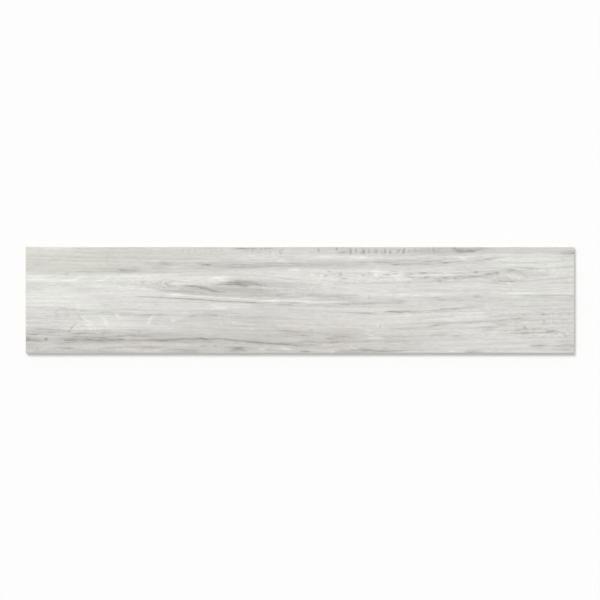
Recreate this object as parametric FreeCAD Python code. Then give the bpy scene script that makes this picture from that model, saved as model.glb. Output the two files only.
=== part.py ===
"""Wood-look porcelain plank tile: one slab, pressed, fired and ground to size, with a keyed back.

Lengths are in millimetres. X runs along the plank, Y across it and Z up through its thickness.
The origin is the middle of the back, on the ribs that the tile lies on, so the face looks up.
"""

import FreeCAD
import Part
import os

# Slab, as ground to its work size
LENGTH = 1200.0
WIDTH = 232.0
THICKNESS = 9.5

# Arrises: a small bevel ground round the face, and a wider one that the press leaves round the back
FACE_BEVEL = 0.6
BACK_BEVEL = 1.2

# Keyed back: a field of pockets between crossing ribs, which the tile adhesive fills
FIELD_MARGIN = 12.0  # plain band from the edge of the tile to the first pocket
POCKET_PITCH = 20.0  # aimed at, and then stretched so that whole pockets fill the field
RIB_WIDTH = 3.0  # of the flat land that a rib bears on
POCKET_DEPTH = 0.7
POCKET_DRAFT = 0.5  # how far each wall leans in between the mouth of a pocket and its floor


def edges_at(solid, height):
    """The edges of a solid that lie wholly at one height."""
    tolerance = Part.Precision.confusion()
    return [
        edge
        for edge in solid.Edges
        if all(abs(vertex.Z - height) < tolerance for vertex in edge.Vertexes)
    ]


def make_slab():
    """The tile before its back is keyed, with both arrises taken off."""
    corner = FreeCAD.Vector(-LENGTH / 2, -WIDTH / 2, 0)
    slab = Part.makeBox(LENGTH, WIDTH, THICKNESS, corner)
    slab = slab.makeChamfer(FACE_BEVEL, edges_at(slab, THICKNESS))
    return slab.makeChamfer(BACK_BEVEL, edges_at(slab, 0))


def lay_out_pockets(tile_size):
    """The pockets along one direction of the tile: their mouth's size, and the place of each centre.

    Their number is even, so that a rib runs through the middle of the tile.
    """
    field = tile_size - 2 * FIELD_MARGIN
    count = 2 * max(1, round(field / POCKET_PITCH / 2))
    pitch = (field + RIB_WIDTH) / count
    centres = [(n - (count - 1) / 2) * pitch for n in range(count)]
    return pitch - RIB_WIDTH, centres


def make_pocket(mouth_along, mouth_across):
    """One pocket as a solid to cut away: a drafted block, centred on Z, with its mouth on Z = 0."""
    x_mouth = mouth_along / 2
    y_mouth = mouth_across / 2
    x_floor = x_mouth - POCKET_DRAFT
    y_floor = y_mouth - POCKET_DRAFT
    pocket = Part.makeWedge(
        -x_mouth, 0, -y_mouth, -y_floor, -x_floor, x_mouth, POCKET_DEPTH, y_mouth, y_floor, x_floor
    )
    # The wedge narrows along its own Y, which is turned up to Z
    pocket.rotate(FreeCAD.Vector(0, 0, 0), FreeCAD.Vector(1, 0, 0), 90)
    return pocket


def make_plank_tile():
    """The slab with every pocket of its keyed back cut away."""
    mouth_along, centres_along = lay_out_pockets(LENGTH)
    mouth_across, centres_across = lay_out_pockets(WIDTH)
    pocket = make_pocket(mouth_along, mouth_across)
    pockets = [
        pocket.translated(FreeCAD.Vector(x, y, 0))
        for x in centres_along
        for y in centres_across
    ]
    return make_slab().cut(Part.makeCompound(pockets))


os.makedirs("parts", exist_ok=True)
plank_tile = make_plank_tile()
plank_tile.exportStep("parts/plank_tile.step")
print(f"plank_tile: {len(plank_tile.Solids)} solid of {plank_tile.Volume / 1000:.1f} cm3")
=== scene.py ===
"""Looks of a wood-look porcelain plank tile: pressed, printed face, ground edges, keyed back, studio.

The frame is in metres: X along the plank, Y across it, Z up. The printed figure is laid out in
millimetres on the face instead: along from the left end, and down from the far long edge.
"""

import math
from collections import namedtuple
from functools import partial, reduce
from itertools import chain

import bmesh
import bpy
import numpy as np
from bpy.props import FloatProperty, FloatVectorProperty, IntProperty, PointerProperty
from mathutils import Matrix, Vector


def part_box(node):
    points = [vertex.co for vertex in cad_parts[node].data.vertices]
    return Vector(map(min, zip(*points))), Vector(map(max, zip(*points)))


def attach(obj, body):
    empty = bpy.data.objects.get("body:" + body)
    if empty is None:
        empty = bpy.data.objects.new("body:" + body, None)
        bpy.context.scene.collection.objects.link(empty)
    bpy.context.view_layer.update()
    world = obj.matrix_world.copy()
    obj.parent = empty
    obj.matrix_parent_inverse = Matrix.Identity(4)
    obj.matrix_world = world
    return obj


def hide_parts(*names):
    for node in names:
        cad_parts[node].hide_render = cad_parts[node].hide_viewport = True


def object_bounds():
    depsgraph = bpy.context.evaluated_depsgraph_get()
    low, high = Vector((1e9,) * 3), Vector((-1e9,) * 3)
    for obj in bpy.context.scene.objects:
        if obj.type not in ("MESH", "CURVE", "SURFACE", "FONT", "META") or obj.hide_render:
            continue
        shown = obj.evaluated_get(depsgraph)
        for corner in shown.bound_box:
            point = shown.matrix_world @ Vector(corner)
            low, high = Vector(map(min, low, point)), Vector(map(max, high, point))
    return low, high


bl_info = {
    "name": "Wood-look plank tile",
    "version": (1, 0, 0),
    "blender": (4, 5, 0),
    "location": "View3D > Sidebar > Plank tile",
    "description": "Dresses a porcelain plank tile with a pressed wood face and sets a studio round it",
    "category": "Object",
}

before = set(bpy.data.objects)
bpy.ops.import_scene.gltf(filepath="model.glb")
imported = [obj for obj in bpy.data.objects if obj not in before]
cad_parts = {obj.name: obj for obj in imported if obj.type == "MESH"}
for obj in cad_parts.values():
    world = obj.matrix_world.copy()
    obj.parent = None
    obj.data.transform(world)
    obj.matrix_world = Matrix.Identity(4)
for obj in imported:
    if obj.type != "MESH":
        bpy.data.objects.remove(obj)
CAD_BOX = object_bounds()

CAD_NODE = "plank_tile"
BODY = "root"
BAKE_MAP = "OFBake"

MM = 0.001
WHITE = 255  # highest level of a screen
MERGE_DISTANCE = 1e-6  # between the corners of neighbouring triangles of the solid
LEVEL_TOLERANCE = 2e-5  # within which two heights of the solid are the same

# Where the parts of the plank lie on its baked texture: (left, right, bottom, top) of the unit square
FACE_PATCH = (0.004, 0.996, 0.300, 0.996)
BACK_PATCH = (0.004, 0.996, 0.078, 0.288)
NEAR_SIDE_PATCH = (0.004, 0.996, 0.052, 0.068)
FAR_SIDE_PATCH = (0.004, 0.996, 0.028, 0.044)
LEFT_END_PATCH = (0.004, 0.480, 0.004, 0.020)
RIGHT_END_PATCH = (0.520, 0.996, 0.004, 0.020)

# The printed figure, in millimetres on the face
Line = namedtuple("Line", "points half_width strength")
Spot = namedtuple("Spot", "middle reach strength")
Place = namedtuple("Place", "start end strength")
Dip = namedtuple("Dip", "middle reach drop")
Parting = namedtuple("Parting", "middle reach spread")
SawRun = namedtuple("SawRun", "first last pitch reach strength")

# The grain dips towards the middle of the plank and climbs to its right end
GRAIN_DIPS = (
    Dip((720, 130), (300, 110), 12),
    Dip((650, 222), (140, 34), 7),
    Dip((1100, 60), (60, 40), 5),
)

# Round a knot the grain parts and closes again
GRAIN_PARTINGS = (
    Parting((468, 84), (118, 24), 1.3),
    Parting((1066, 64), (48, 17), 1.0),
    Parting((45, 202), (16, 8), 0.9),
    Parting((955, 6), (40, 14), 0.8),
    Parting((300, 82), (40, 12), 0.5),
)

# Dark veins, which run with the grain between their points
DARK_VEINS = (
    Line(((462, 4), (500, 4)), 1.6, 0.42),
    Line(((516, 4), (545, 4)), 1.6, 0.46),
    Line(((885, 11), (942, 12)), 3.0, 0.05),
    Line(((986, 4), (1012, 3)), 1.8, 0.36),
    Line(((1164, 14.5), (1204, 14)), 1.8, 0.50),
    Line(((262, 34), (285, 36.5), (332, 37)), 1.8, 0.28),
    Line(((284, 46), (312, 46)), 3.0, 0.14),
    Line(((120, 53), (160, 54), (200, 52)), 1.8, 0.15),
    Line(((204, 51), (222, 52), (250, 50.5)), 1.8, 0.48),
    Line(((372, 36), (400, 39.5), (436, 44), (480, 44.5), (524, 44)), 2.0, 0.34),
    Line(((440, 38), (500, 39), (560, 41), (610, 41)), 1.8, 0.24),
    Line(((520, 34), (560, 34)), 1.6, 0.18),
    Line(((604, 39), (640, 40), (690, 42), (732, 43)), 2.2, 0.06),
    Line(((640, 37), (704, 36)), 1.6, 0.10),
    Line(((712, 35), (757, 33)), 1.6, 0.26),
    Line(((764, 33), (790, 35), (806, 37), (832, 38), (870, 38), (915, 36)), 2.2, 0.42),
    Line(((905, 36), (930, 34), (960, 31), (1000, 28), (1038, 24)), 1.8, 0.38),
    Line(((826, 58), (906, 57)), 1.6, 0.58),
    Line(((828, 66), (854, 66)), 1.7, 0.56),
    Line(((860, 66), (892, 66.5)), 1.7, 0.75),
    Line(((896, 69), (930, 68), (972, 64), (1002, 61), (1038, 56)), 1.8, 0.36),
    Line(((236, 109), (265, 109), (310, 112), (370, 115), (420, 118), (500, 121.5)), 1.4, 0.26),
    Line(((480, 121), (520, 122), (600, 122)), 1.6, 0.26),
    Line(((540, 126), (594, 127)), 1.8, 0.20),
    Line(((616, 126), (660, 126.5), (700, 126), (758, 125)), 1.8, 0.36),
    Line(((606, 103), (650, 105), (724, 107)), 1.8, 0.14),
    Line(((520, 107), (570, 109), (606, 110)), 2.0, 0.18),
    Line(((638, 111), (690, 112), (724, 112)), 1.6, 0.20),
    Line(((640, 117), (722, 117)), 1.5, 0.16),
    Line(((796, 119), (834, 119)), 1.6, 0.46),
    Line(((872, 114), (914, 115)), 1.8, 0.15),
    Line(((898, 115), (964, 116)), 2.4, 0.20),
    Line(((978, 111), (1052, 113)), 2.2, 0.12),
    Line(((1084, 108), (1140, 107), (1180, 105), (1206, 108)), 1.5, 0.36),
    Line(((26, 134), (60, 134), (110, 136)), 1.5, 0.28),
    Line(((156, 143), (200, 144), (245, 147)), 1.6, 0.40),
    Line(((240, 148), (270, 148), (314, 150)), 2.2, 0.28),
    Line(((694, 142), (725, 144.5), (774, 144)), 2.2, 0.10),
    Line(((776, 142), (830, 142.5), (872, 141.5)), 2.0, 0.22),
    Line(((872, 141), (905, 137), (944, 135.5), (962, 132), (1006, 130)), 2.0, 0.24),
    Line(((360, 153), (385, 151), (418, 150)), 2.0, 0.46),
    Line(((450, 156.5), (480, 155), (547, 152)), 1.7, 0.22),
    Line(((878, 174), (905, 169), (946, 167.5), (976, 166), (1004, 162)), 1.6, 0.32),
    Line(((996, 164.5), (1030, 163), (1055, 157), (1102, 156.5)), 1.7, 0.32),
    Line(((1032, 171), (1054, 170.5)), 1.5, 0.34),
    Line(((1002, 180.5), (1026, 180.5)), 1.5, 0.44),
    Line(((796, 178), (852, 178), (910, 172)), 1.6, 0.13),
    Line(((1060, 188), (1108, 188)), 1.7, 0.24),
    Line(((1132, 184), (1155, 183.5)), 1.8, 0.46),
    Line(((18, 181), (60, 181), (103, 184)), 2.0, 0.46),
    Line(((100, 187), (160, 186), (215, 187), (258, 185)), 2.0, 0.26),
    Line(((-12, 190), (28, 191), (60, 194), (132, 195.5)), 1.8, 0.32),
    Line(((130, 196), (190, 195), (280, 195)), 2.2, 0.20),
    Line(((883, 193), (917, 192)), 1.6, 0.28),
    Line(((930, 195), (954, 195)), 1.6, 0.36),
    Line(((-12, 205), (34, 206)), 2.2, 0.38),
    Line(((76, 203), (112, 203)), 1.8, 0.72),
    Line(((116, 203), (160, 203), (210, 202)), 2.6, 0.52),
    Line(((205, 203), (260, 204.5), (312, 204), (350, 201), (420, 200), (462, 205), (500, 208)),
         1.8, 0.22),
    Line(((490, 207), (524, 209)), 1.6, 0.20),
    Line(((520, 211), (560, 213), (582, 216), (608, 217)), 1.7, 0.20),
    Line(((560, 188), (580, 191), (617, 194)), 1.8, 0.28),
    Line(((594, 207), (650, 207), (684, 208)), 1.8, 0.36),
    Line(((656, 201), (704, 201)), 1.5, 0.32),
    Line(((686, 193), (712, 198)), 1.6, 0.18),
    Line(((688, 206), (758, 206.5)), 1.8, 0.22),
    Line(((604, 216), (644, 216)), 1.8, 0.12),
    Line(((68, 221), (104, 221)), 1.8, 0.36),
    Line(((160, 221), (206, 221)), 1.6, 0.08),
    Line(((248, 222.5), (292, 223)), 1.8, 0.30),
    Line(((298, 224), (382, 226)), 2.0, 0.30),
    Line(((443, 227), (478, 226)), 2.0, 0.64),
    Line(((596, 228), (624, 228)), 2.0, 0.55),
    Line(((682, 226), (734, 225)), 1.8, 0.22),
    Line(((726, 224), (760, 227), (792, 228), (832, 228)), 2.4, 0.32),
    Line(((964, 229.5), (998, 230)), 2.0, 0.42),
    Line(((1102, 216), (1144, 216)), 2.2, 0.36),
    Line(((1158, 216), (1206, 216)), 3.0, 0.56),
    Line(((1088, 46), (1118, 46)), 1.6, 0.28),
)

# Bark lines, which the fibres of the grain break less than the veins
BARK_LINES = (
    # the foot of the knot, its core and the line that runs into it
    Line(((408, 82.5), (440, 82), (480, 82.5), (514, 82)), 2.2, 0.58),
    Line(((458, 84.5), (468, 85.5), (476, 85), (482, 87)), 1.6, 0.30),
    Line(((336, 84.5), (372, 85.5), (388, 89.5), (403, 94), (418, 97.5), (438, 100)), 2.6, 0.44),
    # a stain at the far edge
    Line(((935, 3), (946, 8), (962, 10), (990, 8)), 2.8, 0.32),
    # long lines below the knot and near the near edge
    Line(((240, 109.5), (290, 110.5), (340, 113), (400, 117), (450, 120), (540, 121.5)), 1.6, 0.44),
    Line(((235, 203.5), (312, 203.5), (345, 202), (380, 201), (430, 201.5), (455, 204), (480, 207)),
         2.1, 0.40),
    Line(((476, 206.5), (520, 210), (560, 212.5), (606, 217)), 1.9, 0.34),
    # shorter ones to the right
    Line(((700, 144), (720, 144.5), (750, 145), (775, 143)), 1.7, 0.26),
    Line(((782, 142), (820, 141.5), (850, 141.5), (872, 141)), 1.8, 0.36),
    Line(((872, 141), (905, 137), (944, 134.5), (962, 132)), 1.6, 0.24),
    # a crack at the left end
    Line(((110, 166), (103, 173), (98, 180), (92, 188)), 1.4, 0.52),
)

# Dark strokes, which go where their points say, across the grain too
DARK_STROKES = (
    # beside the knot
    Line(((336, 84), (350, 84), (368, 86)), 1.8, 0.14),
    Line(((338, 90), (352, 96), (366, 98)), 2.0, 0.22),
    Line(((506, 85), (540, 85)), 1.6, 0.08),
    # the tip of an arch to the left of it
    Line(((324, 73), (312, 76), (303, 80), (314, 86)), 1.5, 0.36),
    Line(((354, 70), (332, 73), (312, 77.5), (305, 80.5), (316, 85), (334, 89), (356, 92)), 1.3, 0.24),
    Line(((326, 67), (304, 72), (290, 77), (284, 81), (294, 86), (314, 91)), 1.3, 0.20),
    Line(((262, 74), (254, 78), (260, 84)), 1.6, 0.26),
    Line(((280, 92), (302, 94.5), (326, 96), (354, 97)), 2.6, 0.28),
    # the eye near the right end
    Line(((1050, 48), (1062, 50), (1082, 55), (1094, 62), (1099, 68)), 2.2, 0.26),
    Line(((1016, 72), (1030, 76), (1048, 75), (1072, 74)), 2.2, 0.38),
    Line(((1020, 78), (1030, 70), (1042, 71)), 1.8, 0.20),
    # a tongue of grain at the left end
    Line(((110, 142), (116, 151), (126, 161)), 2.4, 0.24),
    # rows of pores and short cracks
    Line(((84, 58), (95, 59)), 2.2, 0.38),
    Line(((688, 57), (690, 65)), 3.2, 0.42),
    Line(((736, 59), (738, 64)), 2.4, 0.34),
    Line(((653, 63), (661, 64)), 2.0, 0.32),
    Line(((683, 75), (694, 77), (706, 80)), 1.6, 0.26),
    Line(((689, 69), (705, 69.5)), 1.6, 0.44),
    Line(((658, 53), (668, 54)), 2.0, 0.44),
    Line(((781, 60), (788, 61), (802, 59), (815, 57)), 1.6, 0.60),
    Line(((790, 62), (802, 67), (816, 75)), 1.2, 0.24),
    Line(((748, 57), (754, 58)), 1.8, 0.26),
    Line(((833, 75), (842, 78)), 2.0, 0.24),
    Line(((904, 72), (907, 77)), 2.4, 0.24),
    Line(((750, 107), (754, 115)), 2.2, 0.24),
    Line(((774, 170), (778, 182)), 1.8, 0.22),
    Line(((1175, 186), (1176, 192), (1180, 195), (1187, 194)), 1.8, 0.44),
    Line(((380, 216), (400, 217)), 2.0, 0.40),
    Line(((410, 216), (418, 216)), 2.4, 0.24),
    Line(((178, 20), (180, 42)), 2.2, 0.10),
)

# Knots and stained spots
DARK_SPOTS = (
    Spot((463, 78.6), (36, 5.0), 0.52),
    Spot((480, 85.5), (5, 2.6), 0.24),
    Spot((470, 91), (42, 8), 0.12),
    Spot((45, 202), (4.2, 2.8), 0.78),
    Spot((4, 200), (5, 4), 0.44),
    Spot((938, 3), (5, 3), 0.30),
    Spot((950, 10), (12, 6), 0.34),
    Spot((974, 9.5), (10, 4.4), 0.40),
    Spot((400, 40), (4, 3), 0.26),
    Spot((985, 55), (5, 3), 0.34),
    Spot((1031, 57), (5, 2.8), 0.40),
    Spot((1057, 53), (8, 5), 0.20),
    Spot((940, 68), (6, 2.6), 0.26),
    Spot((592, 216), (7, 2.4), 0.22),
    Spot((1091, 177), (4, 3.5), 0.36),
    Spot((1112, 180), (5, 3.5), 0.24),
    Spot((1130, 147), (5, 4), 0.22),
    Spot((1132, 163), (4, 5), 0.22),
    Spot((49, 140), (4, 2.6), 0.20),
    Spot((67, 143), (4, 2.6), 0.18),
    Spot((49, 152), (4, 3), 0.16),
    Spot((68, 151), (4, 3), 0.14),
    Spot((92, 150), (5, 3), 0.18),
    Spot((990, 110), (9, 3.4), 0.20),
)

# Pale streaks that run with the grain
PALE_VEINS = (
    Line(((-10, 69), (40, 70), (86, 73)), 5.0, 0.18),
    Line(((180, 66), (260, 64), (330, 60)), 4.0, 0.08),
    Line(((468, 27), (526, 26)), 2.0, 0.22),
    Line(((520, 30), (566, 30)), 1.8, 0.24),
    Line(((572, 50), (604, 50)), 2.0, 0.30),
    Line(((406, 69), (444, 67)), 2.6, 0.34),
    Line(((600, 23), (700, 22), (830, 26), (900, 24)), 2.6, 0.14),
    Line(((310, 104), (400, 108.5), (460, 113), (500, 116), (560, 118)), 2.2, 0.44),
    Line(((540, 117), (640, 120), (712, 121)), 1.8, 0.32),
    Line(((408, 128), (494, 127)), 2.6, 0.26),
    Line(((700, 101), (780, 102), (860, 106)), 2.2, 0.26),
    Line(((870, 108), (930, 107)), 1.8, 0.16),
    Line(((1044, 103), (1100, 102), (1150, 102), (1206, 102)), 1.8, 0.34),
    Line(((956, 146), (1008, 150)), 6.0, 0.12),
    Line(((508, 223), (532, 223)), 2.0, 0.36),
    Line(((556, 222), (584, 222)), 2.2, 0.17),
    Line(((1008, 183), (1034, 183)), 1.6, 0.20),
)

# Pale strokes: swirls of the grain, and ray flecks that cross it
PALE_STROKES = (
    Line(((84, 73), (104, 72), (118, 67), (132, 62)), 2.8, 0.25),
    Line(((146, 76.5), (164, 75), (176, 69), (187, 62)), 2.5, 0.26),
    Line(((236, 60), (244, 65), (252, 73)), 1.8, 0.10),
    Line(((204, 78), (208, 94)), 2.4, 0.12),
    Line(((226, 78), (220, 94)), 2.4, 0.12),
    Line(((326, 69), (310, 73), (299, 79), (308, 86), (330, 93)), 2.0, 0.17),
    Line(((296, 67), (286, 74), (292, 82)), 2.0, 0.10),
    Line(((194, 144), (201, 149), (209, 157)), 2.6, 0.36),
    Line(((286, 147), (273, 157), (268, 168)), 3.0, 0.30),
    Line(((122, 152), (130, 159), (144, 166)), 2.9, 0.24),
    Line(((160, 147), (170, 155), (176, 168), (182, 176)), 3.2, 0.23),
    Line(((112, 118), (115, 134), (112, 146)), 3.0, 0.14),
    Line(((132, 171), (150, 173)), 2.6, 0.14),
    Line(((138, 179), (148, 180)), 2.0, 0.30),
    Line(((150, 175), (153, 186)), 2.0, 0.12),
    Line(((318, 161), (330, 160)), 2.8, 0.22),
    Line(((424, 167), (432, 172)), 2.2, 0.46),
    Line(((449, 165), (459, 163)), 2.0, 0.22),
    Line(((622, 61), (632, 61)), 2.6, 0.38),
    Line(((643, 64), (652, 63)), 2.0, 0.36),
    Line(((656, 54), (666, 58)), 1.8, 0.12),
    Line(((761, 61), (769, 61)), 2.6, 0.60),
    Line(((812, 54), (796, 59), (806, 66), (820, 73)), 1.5, 0.14),
    Line(((832, 70), (846, 70)), 1.8, 0.12),
    Line(((945, 24), (962, 26)), 2.2, 0.34),
    Line(((886, 66), (902, 66)), 1.8, 0.10),
    Line(((1062, 62), (1074, 66), (1080, 71)), 3.2, 0.22),
    Line(((948, 129), (966, 129)), 1.8, 0.08),
    Line(((742, 108), (748, 114)), 2.0, 0.10),
    Line(((769, 164), (771, 176)), 1.8, 0.20),
    Line(((741, 188), (760, 194), (782, 200)), 1.6, 0.30),
    Line(((704, 222), (712, 218), (720, 221.5), (729, 219)), 1.6, 0.46),
    Line(((740, 182), (758, 182.5)), 2.4, 0.17),
    Line(((747, 197), (764, 199), (778, 200)), 2.0, 0.24),
    Line(((792, 195), (808, 195)), 1.8, 0.20),
    Line(((663, 229), (677, 229)), 2.0, 0.34),
    Line(((925, 228.5), (938, 229)), 1.8, 0.30),
    Line(((1181, 187), (1187, 190)), 2.0, 0.50),
    Line(((96, 138), (99, 140)), 1.8, 0.34),
)

# Broad bands of lighter and darker wood, in levels of 255
TONES = (
    Place((-40, 2), (345, 55), -2),
    Place((-40, -6), (110, 18), 10),
    Place((100, 46), (310, 58), -3),
    Place((330, 0), (420, 52), -2),
    Place((600, -8), (910, 17), -5),
    Place((880, -8), (1008, 15), -14),
    Place((990, 2), (1204, 15), -5),
    Place((720, 18), (900, 32), 3),
    Place((790, 32), (960, 44), 9),
    Place((930, 17), (1204, 34), 14),
    Place((1044, 34), (1204, 46), 13),
    Place((1110, 46), (1204, 70), 12),
    Place((340, 34), (600, 46), -10),
    Place((600, 34), (720, 46), -6),
    Place((440, 48), (900, 72), 5),
    Place((720, 46), (900, 58), 10),
    Place((800, 56), (960, 72), 15),
    Place((612, 45), (650, 90), 4),
    Place((-40, 60), (290, 80), 12),
    Place((310, 48), (400, 58), 8),
    Place((300, 58), (450, 66), 3),
    Place((300, 66), (420, 80), 16),
    Place((100, 80), (300, 94), 10),
    Place((-40, 92), (300, 106), 14),
    Place((-40, 106), (130, 134), 18),
    Place((108, 118), (205, 170), 8),
    Place((100, 168), (300, 185), 14),
    Place((-40, 134), (80, 178), 5),
    Place((180, 106), (400, 148), 5),
    Place((400, 118), (560, 150), -3),
    Place((335, 86), (446, 101), -12),
    Place((440, 84), (512, 102), -9),
    Place((330, 92), (560, 118), -9),
    Place((480, 82), (540, 112), -6),
    Place((600, 70), (800, 106), 6),
    Place((600, 100), (724, 118), -3),
    Place((940, 80), (1204, 94), 8),
    Place((870, 94), (1120, 118), 5),
    Place((700, 130), (960, 160), 7),
    Place((770, 147), (985, 172), 6),
    Place((955, 140), (1008, 160), 7),
    Place((1046, 132), (1120, 162), 3),
    Place((870, 172), (1040, 190), 4),
    Place((240, 156), (560, 182), -7),
    Place((240, 184), (560, 200), -13),
    Place((560, 182), (660, 200), -9),
    Place((620, 184), (880, 198), -5),
    Place((655, 178), (725, 234), -12),
    Place((-40, 188), (320, 198), -4),
    Place((-40, 198), (320, 208), -14),
    Place((300, 198), (640, 212), -8),
    Place((200, 207), (310, 224), -7),
    Place((-40, 208), (240, 232), -6),
    Place((-40, 220), (240, 232), -6),
    Place((330, 206), (600, 232), -11),
    Place((380, 220), (470, 232), -5),
    Place((735, 200), (860, 232), -9),
    Place((900, 206), (1204, 222), 5),
    Place((1100, 196), (1204, 208), 5),
    Place((1110, 220), (1204, 232), 4),
)

# Where the print leans to olive, to brown and to green, from 0 to 1
OLIVE_PLACES = (
    Place((-40, 2), (345, 55), 1.0),
    Place((330, 0), (420, 52), 0.5),
    Place((-40, 60), (290, 79), 0.2),
    Place((315, 58), (450, 78), 0.3),
    Place((345, 84), (512, 102), 0.8),
    Place((772, 147), (895, 174), 0.75),
    Place((1046, 132), (1105, 196), 0.4),
    Place((330, 180), (565, 200), 0.6),
    Place((620, 180), (660, 200), 0.7),
    Place((-40, 186), (320, 206), 0.4),
    Place((330, 206), (600, 232), 0.4),
    Place((655, 178), (725, 226), 0.2),
    Place((735, 200), (860, 232), 0.3),
)
BROWN_PLACES = (
    Place((440, 84), (512, 102), 0.2),
    Place((555, 181), (625, 200), 1.0),
    Place((655, 178), (725, 204), 0.9),
    Place((630, 208), (695, 224), 0.8),
    Place((200, 207), (310, 226), 0.8),
)
GREEN_PLACES = (
    Place((-40, 60), (290, 79), 0.6),
    Place((-40, 80), (190, 100), 0.5),
    Place((-40, 100), (130, 134), 0.2),
    Place((108, 118), (205, 184), 0.4),
    Place((315, 58), (450, 78), 0.2),
    Place((612, 45), (650, 90), 0.45),
    Place((1044, 18), (1204, 62), 0.6),
    Place((1170, 60), (1204, 90), 0.5),
    Place((1044, 78), (1140, 130), 0.5),
)

# Saw marks along the far edge: the strong ones by place, and runs of faint ones at the pitch of the saw
SAW_MARKS = (
    Line(((500, 2), (503, 7)), 2.6, 0.16),
    Line(((556, 6), (557, 16)), 2.0, 0.62),
    Line(((640, 3), (641, 12)), 2.2, 0.45),
    Line(((680, 2), (681, 8)), 2.4, 0.45),
    Line(((682, 13), (696, 11.5), (708, 9)), 2.0, 0.40),
    Line(((710, 2), (711, 17)), 2.2, 0.65),
    Line(((721, 3), (722, 16)), 2.0, 0.40),
    Line(((735, 8), (734, 16)), 1.8, 0.46),
    Line(((738, 3), (740, 17)), 2.4, 0.62),
    Line(((751, 3), (752, 16)), 2.2, 0.44),
    Line(((766, 3), (767, 17)), 2.2, 0.32),
    Line(((779, 10), (779, 17)), 1.8, 0.34),
    Line(((785, 2), (786, 17)), 2.2, 0.34),
    Line(((798, 8), (798, 16)), 2.4, 0.66),
    Line(((812, 12), (817, 5)), 2.2, 0.46),
    Line(((824, 14), (828, 3)), 2.4, 0.60),
)
SAW_RUNS = (
    SawRun(344, 432, 12.0, 16, 0.18),
    SawRun(498, 565, 9.5, 17, 0.26),
    SawRun(690, 830, 8.0, 17, 0.12),
    SawRun(838, 908, 5.6, 16, 0.28),
)

# Dappled places, where the grain breaks into dots, and lively places, where its lines stand out
DAPPLED_PLACES = (
    Place((196, 60), (330, 100), 0.7),
    Place((600, 48), (830, 84), 0.6),
    Place((1046, 132), (1190, 198), 0.9),
    Place((1004, 98), (1046, 160), 0.7),
    Place((20, 138), (120, 180), 0.6),
)
LIVELY_PLACES = (
    Place((500, 76), (640, 116), 0.6),
    Place((880, 20), (1204, 80), 0.4),
    Place((860, 120), (1204, 200), 0.3),
    Place((-20, 186), (330, 226), 0.5),
    Place((560, 186), (860, 232), 0.4),
)

FIGURE_SEED = 4
COMPANION_LAYER = 30  # added to the seed for the lines beside the veins
SAW_LAYER = 20  # and for the faint saw marks

# Smooth noise of the painter: its layer, its size, the lengths of its swings and where it starts
Sway = namedtuple("Sway", "layer size along down start")
WOBBLE = Sway(1, 1.0, 11, 9, 0)  # bends the outlines of strokes and spots
DRIFT = Sway(2, 9.0, 45, 4, 0)  # frays the ends of veins and places
RIPPLE = Sway(3, 0.4, 26, 3, 0)  # makes each mark stronger and weaker
LONG_BEND = Sway(4, 2.2, 240, 55, 9)  # bends the grain
SHORT_BEND = Sway(5, 0.6, 70, 18, 9)
FRAY = Sway(6, 3.5, 80, 2.4, 0)  # frays the long edges of places
LATTICE = 256  # knots of that noise along each side, before it repeats

# Grain of print and relief: swings to the metre along it and across it, layer and detail of its noise
Grain = namedtuple("Grain", "along across layer detail", defaults=(2.0,))
CURL = Grain(22.0, 60.0, 60)  # bends the finer grain
BANDS = Grain(2.4, 45.0, 10)
BROAD = Grain(6.0, 120.0, 15, 3.0)
STREAKS = Grain(14.0, 260.0, 0)
BRISTLES = Grain(26.0, 340.0, 25)  # break veins into bundles
FIBRES = Grain(42.0, 1100.0, 20, 3.0)
THREADS = Grain(70.0, 2400.0, 55)  # the finest, in bark alone
DASHES = Grain(62.0, 330.0, 45)
DOTS = Grain(110.0, 420.0, 50)
PORES = Grain(90.0, 1500.0, 30)
PORE_PATCHES = Grain(16.0, 60.0, 40)  # where pores show
HAIRS = Grain(18.0, 1300.0, 35, 1.0)
RING_SWAY = Grain(1.5, 22.0, 70, 1.0)
RING_TREMBLE = Grain(10.0, 100.0, 70, 1.0)
RING_PATCHES = Grain(5.0, 60.0, 70)  # where rings show
WAVES = Grain(6.0, 40.0, 0, 1.0)  # of the whole face, pressed and not printed
CURL_SIZE = 2.4 * MM
RINGS_TO_THE_METRE = 95.0
RING_SWAY_SIZE = 3.4  # in rings
RING_TREMBLE_SIZE = 0.9

# Where noise starts to show as a mark, and where the mark is full
STRAND_STEP = (0.39, 0.61)
BUNDLE_STEP = (0.36, 0.64)
THREAD_STEP = (0.40, 0.60)
DARK_DASH_STEP = (0.56, 0.72)
PALE_DASH_STEP = (0.42, 0.28)
PORE_STEP = (0.60, 0.70)
PATCH_STEP = (0.40, 0.60)
HAIR_STEP = (0.62, 0.70)
RING_STEP = (0.36, 0.60)
RING_SOFT_SIDE = (0.30, 0.90)
RING_SHARP_SIDE = (1.0, 0.93)
PRESSED_STREAK_STEP = (0.72, 0.28)

# How far fibres weaken and strengthen a painted mark
SHARP_SPREAD = (0.25, 1.75)
SOFT_SPREAD = (0.65, 1.35)
BUNDLE_SPREAD = (0.55, 1.45)

# What the marks of the figure add to the level of the print, which runs from 0 to 1
FIGURE_WEIGHTS = {
    "shade": 1.0, "bands": 0.05, "broad": 0.08, "dots": 0.22, "dark": -0.26, "bark": -0.30, "pale": 0.24}
# What the marks of the grain add to it, and the light that they take on the whole, given back
GRAIN_WEIGHTS = {
    "streaks": 0.055, "fibres": 0.11, "rings": -0.040, "dark dashes": -0.038, "pale dashes": 0.034,
    "pores": -0.11, "hairs": -0.07}
GRAIN_MEAN = 0.011
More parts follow.
